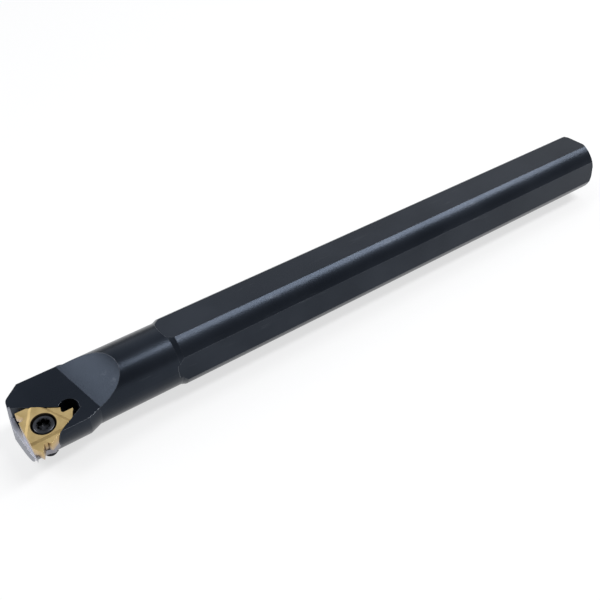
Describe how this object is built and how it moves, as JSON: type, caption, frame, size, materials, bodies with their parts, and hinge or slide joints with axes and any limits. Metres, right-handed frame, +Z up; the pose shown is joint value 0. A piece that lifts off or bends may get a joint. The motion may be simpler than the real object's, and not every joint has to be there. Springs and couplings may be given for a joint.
{
  "type": "internal threading holder",
  "caption": "Round-shank lathe holder for internal threading, with a laydown threading insert screwed over a shim in its head.",
  "frame": {"origin": "centre of the shank's rear end face, on the shank's axis", "axes": "+X along the bar toward the cutting head, +Y toward the side that cuts, +Z up, on the rake side of the insert"},
  "size_m": [0.2032, 0.0223, 0.0205],
  "materials": {
    "blackened_steel": "blackened, satin",
    "shim_carbide": "ground",
    "coated_carbide": "gold coating, satin",
    "screw_steel": "blackened"
  },
  "bodies": {
    "root": {"holder_body": "blackened_steel", "shim": "shim_carbide", "shim_screw": "screw_steel", "threading_insert": "coated_carbide", "insert_screw": "screw_steel"}
  },
  "joints": []
}
